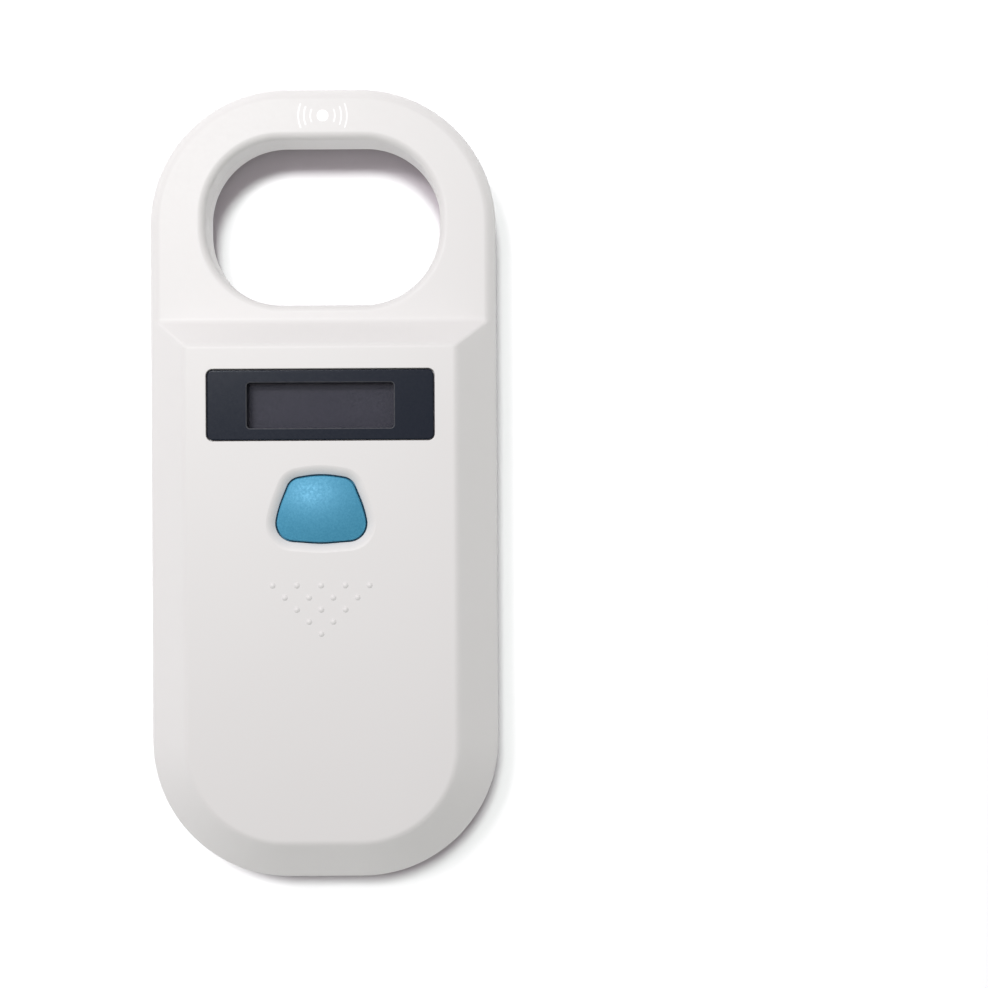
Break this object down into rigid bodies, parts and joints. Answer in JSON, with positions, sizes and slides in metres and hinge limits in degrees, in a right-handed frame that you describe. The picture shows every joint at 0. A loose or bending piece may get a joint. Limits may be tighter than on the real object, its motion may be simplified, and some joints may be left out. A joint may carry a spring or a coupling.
{
  "type": "handheld animal microchip scanner",
  "caption": "Slim white handheld reader for implanted animal microchips: open reading ring at one end, bevelled handle with a small display window, one blue scan button and raised dots.",
  "frame": {"origin": "centre of the back face, on the plane the scanner lies on", "axes": "+Z out of the front face with the display and the button, +Y along the handle towards the reading ring, +X across, to the right when the display is read with the ring at the top"},
  "size_m": [0.0636, 0.1446, 0.0185],
  "materials": {
    "white_abs": "fine satin texture",
    "blue_abs": "pearl satin",
    "lens_acrylic": "polished, tinted",
    "black_plastic": "satin",
    "panel_glass": "polished",
    "foam": "open foam and cloth tape",
    "board": "solder mask",
    "chip_resin": "moulded resin",
    "steel": "nickel plated",
    "copper": "enamelled wire",
    "foil": "satin foil",
    "amber_film": "polyimide film",
    "nylon": "natural nylon",
    "red_plastic": "smooth",
    "black_wire": "smooth",
    "label_film": "satin polyester film"
  },
  "bodies": {
    "housing": {"front_shell": "white_abs", "rear_shell": "white_abs", "rating_label": "label_film", "case_screw_1": "steel", "case_screw_2": "steel", "case_screw_3": "steel", "case_screw_4": "steel", "display_lens": "lens_acrylic", "display_bezel": "black_plastic", "display_gasket": "foam", "oled_panel": "panel_glass", "oled_foam_pad": "foam", "oled_flex_cable": "amber_film", "switch_base": "black_plastic", "switch_cover": "steel", "main_board": "board", "board_screw_1": "steel", "board_screw_2": "steel", "board_screw_3": "steel", "board_screw_4": "steel", "controller_chip": "chip_resin", "reader_chip": "chip_resin", "memory_chip": "chip_resin", "charger_chip": "chip_resin", "crystal": "steel", "tuning_capacitor": "red_plastic", "bulk_capacitor": "foil", "power_inductor": "chip_resin", "buzzer": "black_plastic", "radio_board": "board", "radio_chip": "chip_resin", "usb_shell": "steel", "usb_tongue": "black_plastic", "battery_cell": "foil", "battery_tape": "foam", "cell_guard_board": "board", "battery_wire_red": "red_plastic", "battery_wire_black": "black_wire", "battery_plug": "nylon", "battery_header": "nylon", "coil_former": "black_plastic", "reader_coil": "copper", "coil_lead_left": "copper", "coil_lead_right": "copper"},
    "button": {"scan_button": "blue_abs"},
    "plunger": {"switch_plunger": "black_plastic"}
  },
  "joints": [
    {"name": "button_press", "type": "slide", "parent": "housing", "child": "button", "axis": [0, 0, -1], "range_m": [0, 0.0005], "stiffness_N_per_m": 3000},
    {"name": "plunger_press", "type": "slide", "parent": "housing", "child": "plunger", "axis": [0, 0, -1], "range_m": [0, 0.0005]}
  ],
  "couplings": [
    {"joint": "plunger_press", "follows": "button_press", "ratio": 1}
  ]
}
